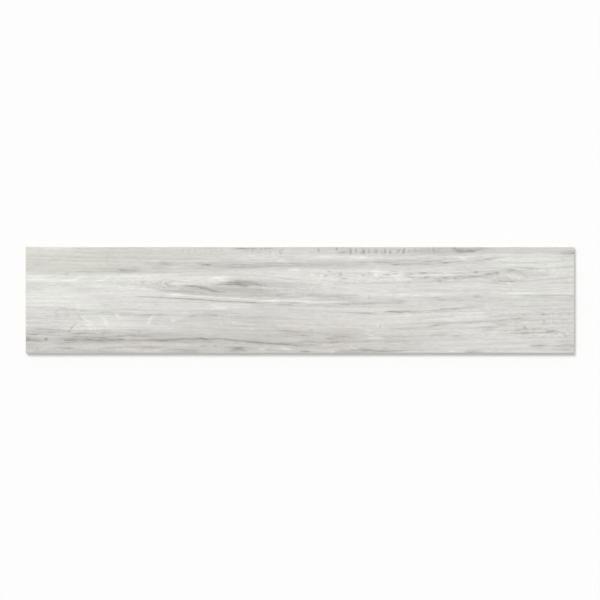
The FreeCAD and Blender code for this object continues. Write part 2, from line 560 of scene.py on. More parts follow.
# What they add to the bump and to the dullness of the glaze
BUMP_WEIGHTS = {"fibres": 0.6, "pores": -0.5, "hairs": -0.3, "dark": -0.5, "bark": -0.4}
DULLNESS_WEIGHTS = {"fibres": 0.11, "pores": 0.15, "dark": 0.10}
# What streaks and rings add to the pressed grain
PRESSED_STREAKS = 0.6
PRESSED_RINGS = 0.4

# Speckles of the fired body: swings to the metre and detail of their noise, where they start to show
# and are full, and how strongly they show
Speckle = namedtuple("Speckle", "swings detail start full share")
SPECKS = Speckle(2400.0, 1.0, 0.54, 0.70, 0.6)
GRITS = Speckle(1100.0, 1.0, 0.64, 0.72, 0.5)
CLOUDS = Speckle(22.0, 3.0, 0.35, 0.75, 0.25)

# White engobe that shows above the ground edge
COAT_FADE = 0.25 * MM
COAT_SHARE = 0.85

# Kiln dust on the ribs, in powdery patches and in the lanes of the rollers
POWDER_SWINGS = 160.0
POWDER_DETAIL = 4.0
POWDER_SIZE = 1.6
LANE_SWINGS = (24.0, 1.5)  # along the plank and across it
LANE_LAYER = 3.0
LANE_DETAIL = 1.0
LANE_SIZE = 1.4
DUST_MEAN = 0.45
DUST_SHARE = 0.9

# Lines that the grinding wheel leaves along the edges, and how dull the body is
GRINDING_SWINGS = (60.0, 60.0, 5000.0)
GRINDING_DETAIL = 2.0
BODY_BUMP_SHARE = 0.5  # of the powder and of the grinding lines alike
BODY_DULLNESS = 0.72
POWDER_DULLNESS = 0.2

# How a finish takes the light: its specular level, and the strength and height of its bump
Surface = namedtuple("Surface", "specular bump_strength bump_height")
GLAZED = Surface(0.22, 0.6, 0.12 * MM)
FIRED = Surface(0.3, 0.5, 0.08 * MM)
FLOOR_DULLNESS = 0.9

# Pixels across the picture, and those of them that the plank spans
PICTURE_WIDTH = 600
PLANK_IN_PICTURE = 549


def srgb(red, green, blue):
    """A colour read off a screen, from 0 to 255, as the scene's linear colour."""
    shares = (channel / WHITE for channel in (red, green, blue))
    return tuple(s / 12.92 if s <= 0.04045 else ((s + 0.055) / 1.055) ** 2.4 for s in shares)


def screen_level(colour):
    """How light a linear colour looks on a screen, from 0 to 1."""
    light = sum(share * channel for share, channel in zip((0.2126, 0.7152, 0.0722), colour))
    return light * 12.92 if light <= 0.0031308 else 1.055 * light ** (1 / 2.4) - 0.055


class PlankReliefSettings(bpy.types.PropertyGroup):
    """Sizes of the pressed relief on the face"""

    columns: IntProperty(
        name="Columns", description="Cells of the face along the plank", default=480, min=8)
    rows: IntProperty(
        name="Rows", description="Cells of the face across the plank", default=190, min=8)
    vein_depth: FloatProperty(
        name="Vein depth", description="How far the dark veins are sunk",
        default=0.22 * MM, subtype="DISTANCE")
    grain_depth: FloatProperty(
        name="Grain depth", description="How deep the brushed grain is",
        default=0.20 * MM, subtype="DISTANCE")
    wave_depth: FloatProperty(
        name="Wave depth", description="How far the whole face waves",
        default=0.16 * MM, subtype="DISTANCE")
    edge_fade: FloatProperty(
        name="Edge fade", description="Band in which the relief dies out at the bevel",
        default=5 * MM, subtype="DISTANCE")
    seed: IntProperty(name="Seed", description="Picks the grain that is pressed and printed", default=7)


class PlankPrintSettings(bpy.types.PropertyGroup):
    """Colours of the printed glaze"""

    heart: FloatVectorProperty(
        name="Heart", description="Darkest print, in the knots",
        default=srgb(74, 71, 65), subtype="COLOR")
    vein: FloatVectorProperty(
        name="Vein", description="Dark veins",
        default=srgb(166, 164.3, 159), subtype="COLOR")
    ground: FloatVectorProperty(
        name="Ground", description="Most of the face",
        default=srgb(214.7, 212.6, 208.8), subtype="COLOR")
    pale: FloatVectorProperty(
        name="Pale", description="Palest streaks",
        default=srgb(246.5, 245.5, 241.5), subtype="COLOR")
    olive: FloatVectorProperty(
        name="Olive cast", description="Multiplies the olive places",
        default=(0.992, 1.0, 0.960), subtype="COLOR")
    brown: FloatVectorProperty(
        name="Brown cast", description="Multiplies the brown places",
        default=(1.0, 0.97, 0.945), subtype="COLOR")
    green: FloatVectorProperty(
        name="Green cast", description="Multiplies the greenish places",
        default=(0.955, 1.0, 0.955), subtype="COLOR")
    roughness: FloatProperty(
        name="Roughness", description="Dullness of the glaze",
        default=0.58, min=0, max=1, subtype="FACTOR")


class PorcelainBodySettings(bpy.types.PropertyGroup):
    """Colours of the fired body at the edges and on the back"""

    body: FloatVectorProperty(
        name="Body", description="Fired porcelain",
        default=srgb(206, 202, 194), subtype="COLOR")
    speck: FloatVectorProperty(
        name="Speck", description="Darker grains in the body",
        default=srgb(170, 164, 154), subtype="COLOR")
    engobe: FloatVectorProperty(
        name="Engobe", description="White coat under the glaze, bare at the bevel",
        default=srgb(229, 227, 222), subtype="COLOR")
    dust: FloatVectorProperty(
        name="Dust", description="White powder that the kiln rollers leave on the ribs",
        default=srgb(232, 230, 225), subtype="COLOR")


class StudioSettings(bpy.types.PropertyGroup):
    """Floor, light and camera"""

    floor: FloatVectorProperty(
        name="Floor", description="Colour of the floor",
        default=srgb(253, 253, 253), subtype="COLOR")
    floor_size: FloatProperty(
        name="Floor size", description="Side of the floor",
        default=50.0, subtype="DISTANCE")
    key_share: FloatProperty(
        name="Key share", description="Part of the light that comes from the key lamp",
        default=0.42, min=0, max=1, subtype="FACTOR")
    key_height: FloatProperty(
        name="Key height", description="Angle of the key lamp above the floor",
        default=math.radians(46), subtype="ANGLE")
    key_turn: FloatProperty(
        name="Key turn", description="Direction of the key lamp, from +X towards +Y",
        default=math.radians(122), subtype="ANGLE")
    key_spread: FloatProperty(
        name="Key spread", description="How wide the key lamp looks, which softens the shadow",
        default=math.radians(24), subtype="ANGLE")
    lens: FloatProperty(
        name="Lens", description="Focal length in millimetres",
        default=100.0, unit="CAMERA")
    fill: FloatProperty(
        name="Fill", description="Share of the picture's width that the plank takes",
        default=PLANK_IN_PICTURE / PICTURE_WIDTH, min=0.1, max=1, subtype="FACTOR")


class Wires:
    """Adds nodes to one tree and joins them, so that a finish reads as a list of steps."""

    def __init__(self, tree):
        self.tree = tree

    def feed(self, socket, value):
        """Joins another node's output to a socket, or sets the socket's own value."""
        if isinstance(value, bpy.types.NodeSocket):
            self.tree.links.new(value, socket)
        else:
            socket.default_value = value

    def node(self, kind, inputs=None, **settings):
        """A new node with its own settings, and with values or outputs at its inputs."""
        made = self.tree.nodes.new(kind)
        for name, value in settings.items():
            setattr(made, name, value)
        for name, value in (inputs or {}).items():
            self.feed(made.inputs[name], value)
        return made

    def math(self, operation, first, second=0.0, clamp=False):
        made = self.node("ShaderNodeMath", {0: first, 1: second}, operation=operation, use_clamp=clamp)
        return made.outputs[0]

    def total(self, *values):
        """All the values added up."""
        return reduce(partial(self.math, "ADD"), values)

    def product(self, *values):
        """All the values multiplied."""
        return reduce(partial(self.math, "MULTIPLY"), values)

    def weighted(self, marks, weights):
        """The named marks times their weights, added up."""
        return self.total(*(self.product(marks[name], weight) for name, weight in weights.items()))

    def swing(self, noise, size=1.0):
        """Noise from 0 to 1 as a swing of that size about zero."""
        return self.product(self.math("SUBTRACT", noise, 0.5), size)

    def smooth_step(self, value, low, high):
        """0 below low, 1 above high and a smooth slope between them."""
        inputs = {"Value": value, "From Min": low, "From Max": high}
        return self.node("ShaderNodeMapRange", inputs, interpolation_type="SMOOTHSTEP").outputs["Result"]

    def spread(self, share, low, high):
        """A share from 0 to 1 spread from low to high."""
        return self.total(self.product(share, high - low), low)

    def vector(self, *values):
        return self.node("ShaderNodeCombineXYZ", dict(enumerate(values))).outputs[0]

    def parts(self, vector):
        """The three numbers of a vector."""
        return self.node("ShaderNodeSeparateXYZ", {0: vector}).outputs

    def painted(self, layer):
        """The three masks of a painted layer."""
        return self.parts(self.node("ShaderNodeAttribute", attribute_name=layer).outputs["Vector"])

    def noise(self, vector, scale, detail):
        inputs = {"Vector": vector, "Scale": scale, "Detail": detail}
        return self.node("ShaderNodeTexNoise", inputs).outputs[0]

    def mixed(self, factor, first, second, blend="MIX"):
        """One colour laid over another."""
        inputs = {"Factor": factor, "A": first, "B": second}
        return self.node("ShaderNodeMix", inputs, data_type="RGBA", blend_type=blend).outputs["Result"]

    def end_finish(self, colour, dullness, height, surface):
        """Ends a finish in one shader, with the heights as its bump."""
        bump = self.node("ShaderNodeBump", {
            "Strength": surface.bump_strength, "Distance": surface.bump_height, "Height": height})
        shader = self.node("ShaderNodeBsdfPrincipled", {
            "Base Color": colour, "Roughness": dullness, "Normal": bump.outputs["Normal"],
            "Specular IOR Level": surface.specular})
        self.node("ShaderNodeOutputMaterial", {"Surface": shader.outputs[0]})


def eased(share):
    return share * share * (3 - 2 * share)


def smooth_step(value, low, high):
    return eased(np.clip((value - low) / (high - low), 0, 1))


def between(value, start, end, fade):
    """1 from start to end and 0 outside, with a slope as long as the fade to both sides of each."""
    return smooth_step(value, start - fade, start + fade) * (1 - smooth_step(value, end - fade, end + fade))


def bell(along, down, middle, reach):
    """A hump of height 1 that dies out at about twice its reach."""
    x = (along - middle[0]) / reach[0]
    y = (down - middle[1]) / reach[1]
    return np.exp(-x * x - y * y)


def sway_at(sway, along, down):
    """Smooth noise to both sides of zero, the same in every run."""
    lattice = np.random.default_rng(FIGURE_SEED + sway.layer).uniform(-1, 1, (LATTICE, LATTICE))
    across = along / sway.along + sway.start
    up = down / sway.down + sway.start
    left = np.floor(across).astype(int)
    low = np.floor(up).astype(int)
    ease_x = eased(across - left)
    ease_y = eased(up - low)

    def knots(right, high):
        return lattice[(left + right) % LATTICE, (low + high) % LATTICE]

    bottom = knots(0, 0) * (1 - ease_x) + knots(1, 0) * ease_x
    top = knots(0, 1) * (1 - ease_x) + knots(1, 1) * ease_x
    return sway.size * (bottom * (1 - ease_y) + top * ease_y)


class FigurePainter:
    """Paints the figure on points of the face, as soft masks that the finish breaks into fibres."""

    PARTING_FADE = (2, 4)  # where a parting of the grain dies out across it, in reaches
    VEIN_TAPER = 14  # over which a vein thins out at each end
    VEIN_END = 0.5  # share of its width that is left there
    SKIRT_WIDTH = 2.6  # of the soft stain round a vein, in widths of its core
    SKIRT_STRENGTH = 0.30
    COMPANIONS = 2  # thinner lines beside each vein
    COMPANION_SLIDE = 0.45  # along the vein, in lengths of it
    COMPANION_ASIDE = (1.6, 3.6)  # in half widths of the vein
    COMPANION_WIDTH = 0.7
    COMPANION_STRENGTH = (0.2, 0.45)
    STROKE_WOBBLE = (1.6, 0.8)
    STROKE_TAPER = 0.5
    SPOT_WOBBLE = (2.0, 0.8)
    SPOT_EDGE = 1.2  # a spot ends more sharply the more this is above 1
    PLACE_DRIFT = 3.0
    PLACE_FADE_ALONG = 60
    PLACE_FADE_DOWN = 6
    SAW_START = 1  # from the far edge
    SAW_SLIDE = 0.25  # in pitches of the saw
    SAW_REACH = (0.6, 1.1)
    SAW_LEAN = 0.1
    SAW_WIDTH = (0.20, 0.32)  # in pitches of the saw
    SAW_STRENGTH = (0.3, 1.2)

    def __init__(self, along, down):
        self.along = along
        self.down = down
        self.flow = self.straightened(along, down)
        self.wobble = sway_at(WOBBLE, along, down)
        self.drift = sway_at(DRIFT, along, self.flow)
        self.ripple = 1 + sway_at(RIPPLE, along, self.flow)
        self.fray = sway_at(FRAY, along, self.flow)

    def straightened(self, along, down):
        """How far down points would lie if the grain ran dead straight."""
        flow = down + sway_at(LONG_BEND, along, down) + sway_at(SHORT_BEND, along, down)
        for dip in GRAIN_DIPS:
            flow -= dip.drop * bell(along, down, dip.middle, dip.reach)
        for parting in GRAIN_PARTINGS:
            y = parting.middle[1]
            opening = 1 + parting.spread * bell(along, down, parting.middle, parting.reach)
            fade = (reaches * parting.reach[1] for reaches in self.PARTING_FADE)
            near = 1 - smooth_step(np.abs(down - y), *fade)
            flow -= near * (down - y) * (1 - 1 / opening)
        return flow

    def with_companions(self, veins):
        """Each vein, then thinner lines beside it."""
        random = np.random.default_rng(FIGURE_SEED + COMPANION_LAYER)
        for vein in veins:
            yield vein
            length = vein.points[-1][0] - vein.points[0][0]
            for _ in range(self.COMPANIONS):
                slide = random.uniform(-self.COMPANION_SLIDE, self.COMPANION_SLIDE) * length
                aside = random.choice((-1, 1)) * random.uniform(*self.COMPANION_ASIDE) * vein.half_width
                points = [(x + slide, y + aside) for x, y in vein.points]
                strength = random.uniform(*self.COMPANION_STRENGTH) * vein.strength
                yield Line(points, self.COMPANION_WIDTH * vein.half_width, strength)

    def veins(self, veins):
        """Strength and mask of each vein and companion, which follow the grain between their points."""
        x = self.along + self.drift
        for vein in self.with_companions(veins):
            stops, heights = (np.array(values, float) for values in zip(*vein.points))
            line = np.interp(self.along, stops, self.straightened(stops, heights))
            taper = between(x, stops[0], stops[-1], self.VEIN_TAPER)
            width = vein.half_width * (self.VEIN_END + (1 - self.VEIN_END) * taper)
            away = (self.flow - line) / width
            core = np.exp(-away ** 2)
            skirt = np.exp(-(away / self.SKIRT_WIDTH) ** 2)
            yield vein.strength, taper * ((1 - self.SKIRT_STRENGTH) * core + self.SKIRT_STRENGTH * skirt)

    def strokes(self, strokes):
        """Strength and mask of each stroke, which is thinner towards both ends."""
        x = self.along + self.STROKE_WOBBLE[0] * self.wobble
        y = self.down + self.STROKE_WOBBLE[1] * self.wobble
        for stroke in strokes:
            corners = np.array(stroke.points, float)
            spans = np.linalg.norm(np.diff(corners, axis=0), axis=1)
            passed = np.concatenate(((0,), np.cumsum(spans))) / spans.sum()
            mask = np.zeros_like(x)
            for place, (start, end) in enumerate(zip(corners, corners[1:])):
                run = end - start
                share = np.clip(((x - start[0]) * run[0] + (y - start[1]) * run[1]) / (run @ run), 0, 1)
                away = np.hypot(x - start[0] - share * run[0], y - start[1] - share * run[1])
                gone = passed[place] + share * (passed[place + 1] - passed[place])
                thin = 1 - self.STROKE_TAPER * (2 * gone - 1) ** 2
                mask = np.maximum(mask, thin * np.exp(-(away / (stroke.half_width * thin)) ** 2))
            yield stroke.strength, mask

    def spots(self, spots):
        """Strength and mask of each knot or stain."""
        for spot in spots:
            x = (self.along - spot.middle[0] + self.SPOT_WOBBLE[0] * self.wobble) / spot.reach[0]
            y = (self.down - spot.middle[1] + self.SPOT_WOBBLE[1] * self.wobble) / spot.reach[1]
            yield spot.strength, np.exp(-((x * x + y * y) ** self.SPOT_EDGE))

    def faint_saw_marks(self):
        """Uneven strokes across the grain at the far edge, at the pitch of the saw."""
        random = np.random.default_rng(FIGURE_SEED + SAW_LAYER)
        for run in SAW_RUNS:
            for place in np.arange(run.first, run.last, run.pitch):
                x = place + random.uniform(-self.SAW_SLIDE, self.SAW_SLIDE) * run.pitch
                reach = run.reach * random.uniform(*self.SAW_REACH)
                lean = random.uniform(-self.SAW_LEAN, self.SAW_LEAN) * reach
                width = random.uniform(*self.SAW_WIDTH) * run.pitch
                strength = run.strength * random.uniform(*self.SAW_STRENGTH)
                yield Line(((x, self.SAW_START), (x + lean, reach)), width, strength)

    def shown(self, *groups):
        """How strongly any mark of these groups shows at each point."""
        clear = np.ones_like(self.along)
        for strength, mask in chain(*groups):
            clear *= 1 - np.clip(strength * mask * self.ripple, 0, 1)
        return 1 - clear

    def inside(self, place):
        """A place's strength inside its corners. Its edge is soft, and frayed along the grain."""
        x = self.along + self.PLACE_DRIFT * self.drift
        y = self.down + self.fray
        share = between(x, place.start[0], place.end[0], self.PLACE_FADE_ALONG)
        share *= between(y, place.start[1], place.end[1], self.PLACE_FADE_DOWN)
        return place.strength * share

    def strongest(self, places):
        return np.max([self.inside(place) for place in places], axis=0)

    def paint(self):
        """The layers that the finish and the relief read, by name."""
        dark_strokes = (*DARK_STROKES, *self.faint_saw_marks())
        bark_strokes = (*BARK_LINES, *SAW_MARKS)
        return {
            "figure": (
                self.shown(self.veins(DARK_VEINS), self.strokes(dark_strokes)),
                self.shown(self.veins(PALE_VEINS), self.strokes(PALE_STROKES)),
                self.shown(self.spots(DARK_SPOTS), self.strokes(bark_strokes)),
            ),
            "ground": (
                sum(self.inside(tone) for tone in TONES) / WHITE,
                self.strongest(DAPPLED_PLACES),
                self.flow * MM,
            ),
            "tint": tuple(self.strongest(places) for places in (OLIVE_PLACES, BROWN_PLACES, GREEN_PLACES)),
            "lively": (self.strongest(LIVELY_PLACES),),
        }


def lay_grain(wires, along, flow, grain, seed):
    """Noise drawn out along the grain. The seed is a number in a finish and a socket in the relief."""
    layer = seed + grain.layer if isinstance(seed, int) else wires.total(seed, grain.layer)
    place = wires.vector(wires.product(along, grain.along), wires.product(flow, grain.across), layer)
    return wires.noise(place, 1.0, grain.detail)


def lay_rings(wires, along, flow, seed):
    """Growth rings: lines with one soft and one sharp side, which come and go along the grain."""
    sway = lay_grain(wires, along, flow, RING_SWAY, seed)
    tremble = lay_grain(wires, along, flow, RING_TREMBLE, seed)
    count = wires.total(
        wires.product(flow, RINGS_TO_THE_METRE),
        wires.swing(sway, RING_SWAY_SIZE),
        wires.swing(tremble, RING_TREMBLE_SIZE),
    )
    share = wires.math("FRACT", count)
    return wires.product(
        wires.smooth_step(share, *RING_SOFT_SIDE),
        wires.smooth_step(share, *RING_SHARP_SIDE),
        wires.smooth_step(lay_grain(wires, along, flow, RING_PATCHES, seed), *RING_STEP),
    )


def lay_marks(wires, seed):
    """All marks of the print by name: the painted ones, broken into fibres, and those of the grain."""
    along = wires.parts(wires.node("ShaderNodeTexCoord").outputs["Object"])[0]
    dark, pale, bark = wires.painted("figure")
    shade, dapple, flow = wires.painted("ground")

    def straight(grain):
        return lay_grain(wires, along, flow, grain, seed)

    curled_flow = wires.total(flow, wires.swing(straight(CURL), CURL_SIZE))

    def curled(grain):
        return lay_grain(wires, along, curled_flow, grain, seed)

    fibres = curled(FIBRES)
    dashes = curled(DASHES)
    strands = wires.smooth_step(fibres, *STRAND_STEP)
    soft_strands = wires.spread(strands, *SOFT_SPREAD)
    bundles = wires.spread(wires.smooth_step(curled(BRISTLES), *BUNDLE_STEP), *BUNDLE_SPREAD)
    threads = wires.spread(wires.smooth_step(curled(THREADS), *THREAD_STEP), *SOFT_SPREAD)
    pore_patches = wires.smooth_step(straight(PORE_PATCHES), *PATCH_STEP)
    return {
        "dark": wires.product(dark, bundles, wires.spread(strands, *SHARP_SPREAD)),
        "pale": wires.product(pale, bundles, soft_strands),
        "bark": wires.product(bark, soft_strands, threads),
        "shade": shade,
        "bands": wires.swing(straight(BANDS)),
        "broad": wires.swing(curled(BROAD)),
        "dots": wires.product(dapple, wires.swing(curled(DOTS))),
        "streaks": wires.swing(straight(STREAKS)),
        "fibres": wires.swing(fibres),
        "rings": lay_rings(wires, along, flow, seed),
        "dark dashes": wires.smooth_step(dashes, *DARK_DASH_STEP),
        "pale dashes": wires.smooth_step(dashes, *PALE_DASH_STEP),
        "pores": wires.product(wires.smooth_step(curled(PORES), *PORE_STEP), pore_patches),
        "hairs": wires.smooth_step(curled(HAIRS), *HAIR_STEP),
    }


def new_finish(name):
    """A material with an empty tree, and the wires to fill it."""
    material = bpy.data.materials.new(name)
    material.use_nodes = True
    material.node_tree.nodes.clear()
    return material, Wires(material.node_tree)


def make_printed_glaze(colours, seed):
    """Matt glaze with a wood print: tone, rings, veins, ray flecks, pores and a brushed bump."""
    material, wires = new_finish("printed_glaze")
    marks = lay_marks(wires, seed)
    lively = wires.node("ShaderNodeAttribute", attribute_name="lively").outputs["Fac"]
    level = wires.total(
        screen_level(colours.ground) + GRAIN_MEAN,
        wires.weighted(marks, FIGURE_WEIGHTS),
        wires.product(wires.weighted(marks, GRAIN_WEIGHTS), wires.total(lively, 1.0)),
    )
    ramp = wires.node("ShaderNodeValToRGB", {"Fac": level})
    stops = ramp.color_ramp.elements
    for colour in (colours.vein, colours.ground):
        stops.new(screen_level(colour)).color = (*colour, 1)
    for stop, colour in ((stops[0], colours.heart), (stops[-1], colours.pale)):
        stop.position = screen_level(colour)
        stop.color = (*colour, 1)
    colour = ramp.outputs["Color"]
    for amount, cast in zip(wires.painted("tint"), (colours.olive, colours.brown, colours.green)):
        colour = wires.mixed(amount, colour, (*cast, 1), "MULTIPLY")
    dullness = wires.total(colours.roughness, wires.weighted(marks, DULLNESS_WEIGHTS))
    wires.end_finish(colour, dullness, wires.weighted(marks, BUMP_WEIGHTS), GLAZED)
    return material


def make_fired_body(colours, rib_top, coat_foot):
    """Unglazed porcelain: specks, grinding lines, white coat at the bevel, kiln dust on the back's ribs."""
    material, wires = new_finish("fired_body")
    place = wires.node("ShaderNodeTexCoord").outputs["Object"]
    x, y, z = wires.parts(place)

    def speckled(speckle):
        noise = wires.noise(place, speckle.swings, speckle.detail)
        return wires.product(wires.smooth_step(noise, speckle.start, speckle.full), speckle.share)

    specks = wires.math("MAXIMUM", speckled(SPECKS), speckled(GRITS))
    colour = wires.mixed(specks, (*colours.body, 1), (*colours.speck, 1))
    colour = wires.mixed(speckled(CLOUDS), colour, (*colours.speck, 1))
    coat = wires.smooth_step(z, coat_foot - COAT_FADE, coat_foot)
    colour = wires.mixed(wires.product(coat, COAT_SHARE), colour, (*colours.engobe, 1))

    powder = wires.noise(place, POWDER_SWINGS, POWDER_DETAIL)
    lane_place = wires.vector(*map(wires.product, (x, y), LANE_SWINGS), LANE_LAYER)
    lanes = wires.noise(lane_place, 1.0, LANE_DETAIL)
    dust = wires.total(wires.swing(powder, POWDER_SIZE), wires.swing(lanes, LANE_SIZE), DUST_MEAN)
    on_ribs = wires.math("LESS_THAN", z, rib_top)
    dust = wires.math("MULTIPLY", wires.product(dust, on_ribs), DUST_SHARE, clamp=True)
    colour = wires.mixed(dust, colour, (*colours.dust, 1))

    grinding_place = wires.vector(*map(wires.product, (x, y, z), GRINDING_SWINGS))
    grinding = wires.noise(grinding_place, 1.0, GRINDING_DETAIL)
    height = wires.product(wires.total(powder, grinding), BODY_BUMP_SHARE)
    dullness = wires.total(BODY_DULLNESS, wires.swing(powder, POWDER_DULLNESS))
    wires.end_finish(colour, dullness, height, FIRED)
    return material


def make_floor_paint(colour):
    material = bpy.data.materials.new("pale_floor")
    material.use_nodes = True
    shader = material.node_tree.nodes["Principled BSDF"]
    shader.inputs["Base Color"].default_value = (*colour, 1)
    shader.inputs["Roughness"].default_value = FLOOR_DULLNESS
    shader.inputs["Specular IOR Level"].default_value = 0.0
    return material


def same_level(first, second):
    return abs(first - second) < LEVEL_TOLERANCE


class PlankShell:
    """The plank as one closed mesh: the solid's own back, and a fine grid in place of its flat face."""

    def __init__(self, node, columns, rows):
        self.low, self.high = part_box(CAD_NODE)
        self.columns = columns
        self.rows = rows
        self.keep_back(node)
        self.lay_face()
        self.close_edges()

    def keep_back(self, node):
        """Takes over the solid's back up to the top of its back bevel, and notes the solid's levels."""
        shell = bmesh.new()
        shell.from_mesh(node.data)
        bmesh.ops.remove_doubles(shell, verts=shell.verts, dist=MERGE_DISTANCE)
        outer = sorted(v.co.z for v in shell.verts if same_level(v.co.x, self.high.x))
        self.back_level = outer[0]
        self.bevel_level = outer[-1]
        top = [v.co.copy() for v in shell.verts if same_level(v.co.z, self.high.z)]
        self.face_reach = Vector((max(p.x for p in top), max(p.y for p in top)))
        limit = self.back_level + LEVEL_TOLERANCE
        above = [f for f in shell.faces if max(v.co.z for v in f.verts) > limit]
        bmesh.ops.delete(shell, geom=above, context="FACES")
        shell.verts.index_update()
        self.points = [tuple(v.co) for v in shell.verts]
        self.faces = [[v.index for v in f.verts] for f in shell.faces]
        self.rim = [v.index for v in shell.verts if same_level(v.co.z, self.back_level)]
        self.glazed = [False] * len(self.faces)
        shell.free()

    def lay_face(self):
        """A grid that fills the flat face, row by row from the near edge."""
        self.face_start = len(self.points)
        for y in np.linspace(-self.face_reach.y, self.face_reach.y, self.rows + 1):
            for x in np.linspace(-self.face_reach.x, self.face_reach.x, self.columns + 1):
                self.points.append((float(x), float(y), self.high.z))
        for row in range(self.rows):
            for column in range(self.columns):
                first = self.on_face(column, row)
                above = self.on_face(column, row + 1)
                self.faces.append([first, first + 1, above + 1, above])
        self.glazed += [True] * (self.rows * self.columns)

    def on_face(self, column, row):
        return self.face_start + row * (self.columns + 1) + column

    def close_edges(self):
        """Joins the grid to the back with the face bevel and four ground edges."""
        near = [self.on_face(c, 0) for c in range(self.columns + 1)]
        right = [self.on_face(self.columns, r) for r in range(self.rows + 1)]
        far = [self.on_face(c, self.rows) for c in range(self.columns, -1, -1)]
        left = [self.on_face(0, r) for r in range(self.rows, -1, -1)]
        foot = {}
        stretch = (self.high.x / self.face_reach.x, self.high.y / self.face_reach.y)
        for index in near + right + far + left:
            if index not in foot:
                x, y, _ = self.points[index]
                foot[index] = len(self.points)
                self.points.append((x * stretch[0], y * stretch[1], self.bevel_level))
        for side, axis, level in ((near, 1, self.low.y), (right, 0, self.high.x),
                                  (far, 1, self.high.y), (left, 0, self.low.x)):
            for first, second in zip(side, side[1:]):
                self.faces.append([foot[first], foot[second], second, first])
            feet = [foot[index] for index in side]
            bottom = [i for i in self.rim if same_level(self.points[i][axis], level)]
            bottom.sort(key=lambda i: self.points[i][1 - axis], reverse=side in (far, left))
            self.faces.append(bottom + feet[::-1])
        self.glazed += [False] * (len(self.faces) - len(self.glazed))

    def mesh(self):
        made = bpy.data.meshes.new("plank_shell")
        made.from_pydata(self.points, [], self.faces)
        glazed = made.attributes.new("glazed", "BOOLEAN", "FACE")
        glazed.data.foreach_set("value", np.array(self.glazed))
        return made


def read_all(items, name, kind, width=1):
    """One value of every item of a mesh, or one row of values."""
    values = np.empty(len(items) * width, kind)
    items.foreach_get(name, values)
    return values if width == 1 else values.reshape(-1, width)


def mesh_points(mesh):
    """The places of a mesh's vertices, one row each."""
    return read_all(mesh.vertices, "co", np.float32, 3).astype(float)


def paint_figure(mesh, shell):
    """Stores the layers of the printed figure on a mesh's points."""
    places = mesh_points(mesh)
    along = (places[:, 0] - shell.low.x) / MM
    down = (shell.high.y - places[:, 1]) / MM
    for name, masks in FigurePainter(along, down).paint().items():
        kind, field = ("FLOAT", "value") if len(masks) == 1 else ("FLOAT_VECTOR", "vector")
        layer = mesh.attributes.new(name, kind, "POINT")
        layer.data.foreach_set(field, np.stack(masks, axis=1).astype(np.float32).ravel())


def make_relief_tree():
    """Geometry Nodes tree that presses the grain into the glazed faces and gives out both finishes."""
    tree = bpy.data.node_groups.new("pressed_relief", "GeometryNodeTree")
    sizes = ("Vein depth", "Grain depth", "Wave depth", "Edge fade", "Reach along", "Reach across", "Seed")
    for kind, names in (
        ("NodeSocketGeometry", ("Plank",)),
        ("NodeSocketFloat", sizes),
        ("NodeSocketMaterial", ("Glaze", "Body")),
    ):
        for name in names:
            tree.interface.new_socket(name, in_out="INPUT", socket_type=kind)
    tree.interface.new_socket("Plank", in_out="OUTPUT", socket_type="NodeSocketGeometry")

    wires = Wires(tree)
    given = wires.node("NodeGroupInput").outputs
    x, y, _ = wires.parts(wires.node("GeometryNodeInputPosition").outputs[0])

    def named(attribute, kind):
        made = wires.node("GeometryNodeInputNamedAttribute", {"Name": attribute}, data_type=kind)
        return made.outputs["Attribute"]

    dark, _, bark = wires.parts(named("figure", "FLOAT_VECTOR"))
    flow = wires.parts(named("ground", "FLOAT_VECTOR"))[2]
    glazed = named("glazed", "BOOLEAN")
    streaks = wires.smooth_step(lay_grain(wires, x, flow, STREAKS, given["Seed"]), *PRESSED_STREAK_STEP)
    rings = lay_rings(wires, x, flow, given["Seed"])
    waves = lay_grain(wires, x, y, WAVES, given["Seed"])
    grain = wires.total(wires.product(streaks, PRESSED_STREAKS), wires.product(rings, PRESSED_RINGS))
    depth = wires.total(
        wires.product(wires.total(dark, bark), given["Vein depth"]),
        wires.product(grain, given["Grain depth"]),
        wires.product(waves, given["Wave depth"]),
    )

    def room(coordinate, reach):
        """0 at the edge of the face and 1 from the fade inwards."""
        inwards = wires.math("SUBTRACT", reach, wires.math("ABSOLUTE", coordinate))
        return wires.math("DIVIDE", inwards, given["Edge fade"], clamp=True)

    inside = wires.product(room(x, given["Reach along"]), room(y, given["Reach across"]))
    offset = wires.vector(0.0, 0.0, wires.product(depth, inside, -1.0))
    press = wires.node("GeometryNodeSetPosition", {
        "Geometry": given["Plank"], "Selection": glazed, "Offset": offset})
    smooth = wires.node("GeometryNodeSetShadeSmooth", {"Geometry": press.outputs[0], "Selection": glazed})
    real = wires.node("GeometryNodeRealizeInstances", {"Geometry": smooth.outputs[0]})
    body = wires.node("GeometryNodeSetMaterial", {"Geometry": real.outputs[0], "Material": given["Body"]})
    glaze = wires.node("GeometryNodeSetMaterial", {
        "Geometry": body.outputs[0], "Selection": glazed, "Material": given["Glaze"]})
    wires.node("NodeGroupOutput", {"Plank": glaze.outputs[0]})
    return tree


def press_relief(piece, values):
    """Runs the relief tree on a piece with the named values, and leaves the result as a plain mesh."""
    modifier = piece.modifiers.new("pressed_relief", "NODES")
    modifier.node_group = make_relief_tree()
    for item in modifier.node_group.interface.items_tree:
        if item.in_out == "INPUT" and item.name in values:
            modifier[item.identifier] = values[item.name]
    graph = bpy.context.evaluated_depsgraph_get()
    pressed = bpy.data.meshes.new_from_object(
        piece.evaluated_get(graph), preserve_all_data_layers=True, depsgraph=graph)
    piece.modifiers.remove(modifier)
    piece.data = pressed
    return pressed


